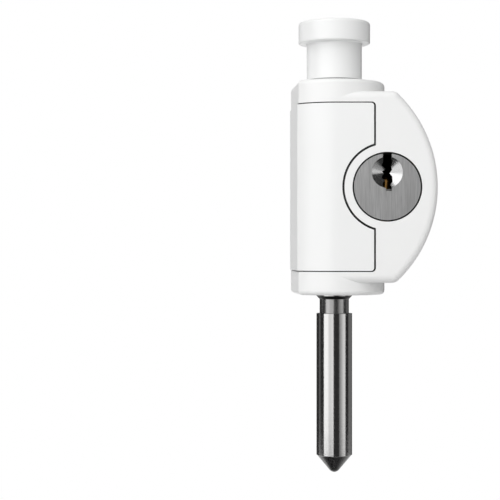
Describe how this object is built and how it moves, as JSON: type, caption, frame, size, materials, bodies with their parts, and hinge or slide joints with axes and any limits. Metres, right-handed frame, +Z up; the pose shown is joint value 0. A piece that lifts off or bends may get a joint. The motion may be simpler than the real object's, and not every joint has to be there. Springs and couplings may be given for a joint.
{
  "type": "window lock",
  "caption": "Surface-mounted window lock: a round bolt with a pull knob runs through a housing with a winged key cylinder, which latches the bolt down or up.",
  "frame": {"origin": "on the mounting face, behind the bolt's axis, at mid height of the housing", "axes": "+X towards the key cylinder's side, +Y into the window frame, +Z up along the bolt, from its point to its knob"},
  "size_m": [0.0395, 0.025, 0.1257],
  "materials": {
    "white_coat": "satin white powder coat",
    "white_plastic": "semi-gloss white",
    "knob_plastic": "semi-gloss white",
    "bolt_steel": "turned and polished",
    "satin_nickel": "satin nickel, fine brushing",
    "bright_nickel": "bright nickel",
    "brass": "turned brass",
    "zinc_plate": "zinc plated",
    "screw_steel": "zinc plated",
    "spring_steel": "bright spring wire",
    "bush_plastic": "moulded acetal",
    "ring_rubber": "matt"
  },
  "bodies": {
    "housing_body": {"housing": "white_coat", "screw_cover": "white_plastic", "back_plate": "zinc_plate", "back_plate_screws": "screw_steel", "top_bush": "bush_plastic", "bottom_bush": "bush_plastic", "friction_ring": "ring_rubber", "stop_screw": "screw_steel", "cylinder_shell": "satin_nickel", "chamber_cover": "brass", "cylinder_end_plate": "zinc_plate", "cylinder_screw": "screw_steel", "driver_pins": "brass", "driver_springs": "spring_steel"},
    "bolt_body": {"bolt": "bolt_steel", "pull_knob": "knob_plastic", "knob_insert": "brass"},
    "plug_body": {"key_plug": "bright_nickel", "key_pins": "brass", "tail_cam": "zinc_plate"},
    "latch_body": {"latch": "zinc_plate"}
  },
  "joints": [
    {"name": "bolt_slide", "type": "slide", "parent": "housing_body", "child": "bolt_body", "axis": [0, 0, 1], "range_m": [0, 0.019]},
    {"name": "key_turn", "type": "hinge", "parent": "housing_body", "child": "plug_body", "pos_m": [0.01356, -0.015, 0.00395], "axis": [0, 1, 0], "range_deg": [0, 90]},
    {"name": "latch_slide", "type": "slide", "parent": "housing_body", "child": "latch_body", "axis": [-1, 0, 0], "range_m": [0, 0.00212]}
  ],
  "couplings": [
    {"joint": "key_turn", "follows": "latch_slide", "rad_per_m": 740.48}
  ]
}
